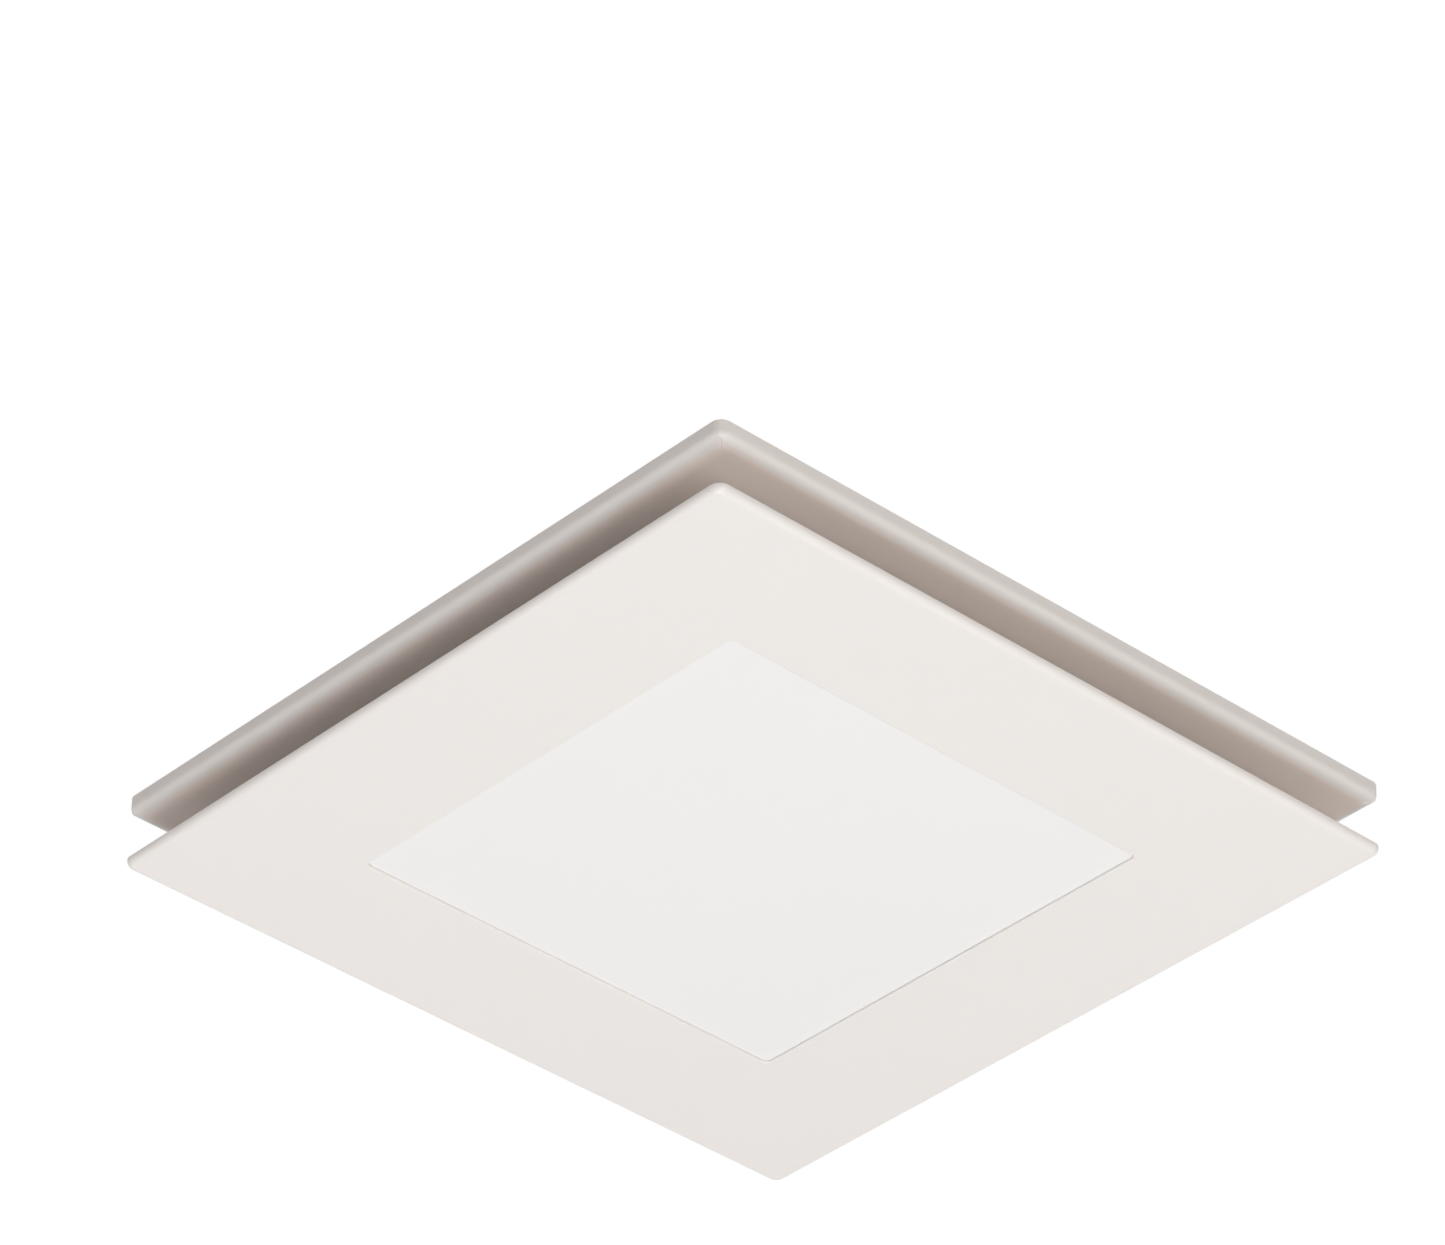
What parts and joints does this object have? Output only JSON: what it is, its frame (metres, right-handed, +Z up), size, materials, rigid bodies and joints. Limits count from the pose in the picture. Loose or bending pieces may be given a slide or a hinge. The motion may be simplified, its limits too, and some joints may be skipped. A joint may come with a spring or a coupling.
{
  "type": "exhaust fan with light",
  "caption": "Ceiling exhaust fan with a square fascia that floats below its bezel, a square panel light, and a side duct outlet.",
  "frame": {"origin": "middle of the ceiling cut-out, in the plane of the ceiling's underside", "axes": "+Z up into the roof space, out of the back of the bezel; the duct outlet points along +X"},
  "size_m": [0.3533, 0.31, 0.1672],
  "materials": {
    "white_abs": "satin moulded plastic",
    "grey_abs": "fine moulded texture",
    "opal": "satin opal",
    "acrylic": "polished clear",
    "board": "white solder mask",
    "paper": "matte white sheet",
    "aluminium": "rolled",
    "galvanised": "zinc coated",
    "steel": "bright",
    "copper": "enamelled wire",
    "nylon": "natural",
    "black_plastic": "satin",
    "rubber": "matte",
    "foam": "open cell"
  },
  "bodies": {
    "housing": {"bezel": "white_abs", "ceiling_gasket": "foam", "finger_guard": "grey_abs", "inlet_ring": "grey_abs", "base_plate": "galvanised", "scroll_wall": "galvanised", "scroll_cover": "galvanised", "motor_can_lower": "galvanised", "motor_can_upper": "galvanised", "stator_core": "steel", "stator_winding": "copper", "lower_bearing": "steel", "upper_bearing": "steel", "motor_grommet_1": "rubber", "motor_grommet_2": "rubber", "motor_grommet_3": "rubber", "motor_screw_1": "steel", "motor_screw_2": "steel", "motor_screw_3": "steel", "terminal_box": "grey_abs", "terminal_box_lid": "grey_abs", "terminal_block": "nylon", "cable_gland": "black_plastic", "capacitor": "aluminium", "led_driver": "white_abs", "motor_lead": "black_plastic", "driver_lead": "grey_abs", "socket_lead": "white_abs", "light_socket": "black_plastic", "catch_clip_1": "nylon", "catch_clip_2": "nylon", "catch_clip_3": "nylon", "catch_clip_4": "nylon", "duct_adapter": "grey_abs", "damper_rod": "steel", "damper_spring": "steel", "arm_spring_1": "steel", "arm_spring_2": "steel", "arm_spring_3": "steel", "arm_spring_4": "steel"},
    "fascia": {"fascia_panel": "white_abs", "light_diffuser": "opal", "light_guide": "acrylic", "led_strip": "board", "reflector_sheet": "paper", "light_back_plate": "aluminium", "fascia_carrier": "white_abs", "light_plug": "black_plastic"},
    "impeller": {"impeller": "black_plastic", "impeller_nut": "steel", "motor_shaft": "steel", "rotor": "steel"},
    "damper_flap_left": {"damper_flap_left": "white_abs"},
    "damper_flap_right": {"damper_flap_right": "white_abs"},
    "ceiling_arm_1": {"ceiling_arm_1": "nylon"},
    "ceiling_arm_2": {"ceiling_arm_2": "nylon"},
    "ceiling_arm_3": {"ceiling_arm_3": "nylon"},
    "ceiling_arm_4": {"ceiling_arm_4": "nylon"},
    "colour_switch": {"colour_switch": "black_plastic"}
  },
  "joints": [
    {"name": "fascia_drop", "type": "slide", "parent": "housing", "child": "fascia", "axis": [0, 0, -1], "range_m": [0, 0.045]},
    {"name": "impeller_spin", "type": "hinge", "parent": "housing", "child": "impeller", "pos_m": [0, 0, 0.031], "axis": [0, 0, 1], "continuous": true},
    {"name": "flap_left_swing", "type": "hinge", "parent": "housing", "child": "damper_flap_left", "pos_m": [0.1683, -0.07566, 0.0626], "axis": [0, 0, -1], "range_deg": [0, 75], "stiffness_Nm_per_rad": 0.002, "springref_deg": -28.65},
    {"name": "flap_right_swing", "type": "hinge", "parent": "housing", "child": "damper_flap_right", "pos_m": [0.1683, -0.07566, 0.0626], "axis": [0, 0, 1], "range_deg": [0, 75], "stiffness_Nm_per_rad": 0.002, "springref_deg": -28.65},
    {"name": "fold_arm_1", "type": "hinge", "parent": "housing", "child": "ceiling_arm_1", "pos_m": [0.12, 0.04, 0.0353], "axis": [0, -1, 0], "range_deg": [0, 130], "stiffness_Nm_per_rad": 0.05, "springref_deg": -40.11},
    {"name": "fold_arm_2", "type": "hinge", "parent": "housing", "child": "ceiling_arm_2", "pos_m": [-0.04, 0.12, 0.0353], "axis": [1, 0, 0], "range_deg": [0, 130], "stiffness_Nm_per_rad": 0.05, "springref_deg": -40.11},
    {"name": "fold_arm_3", "type": "hinge", "parent": "housing", "child": "ceiling_arm_3", "pos_m": [-0.12, -0.04, 0.0353], "axis": [0, 1, 0], "range_deg": [0, 130], "stiffness_Nm_per_rad": 0.05, "springref_deg": -40.11},
    {"name": "fold_arm_4", "type": "hinge", "parent": "housing", "child": "ceiling_arm_4", "pos_m": [0.04, -0.12, 0.0353], "axis": [-1, 0, 0], "range_deg": [0, 130], "stiffness_Nm_per_rad": 0.05, "springref_deg": -40.11},
    {"name": "switch_slide", "type": "slide", "parent": "housing", "child": "colour_switch", "axis": [1, 0, 0], "range_m": [-0.003, 0.003]}
  ]
}
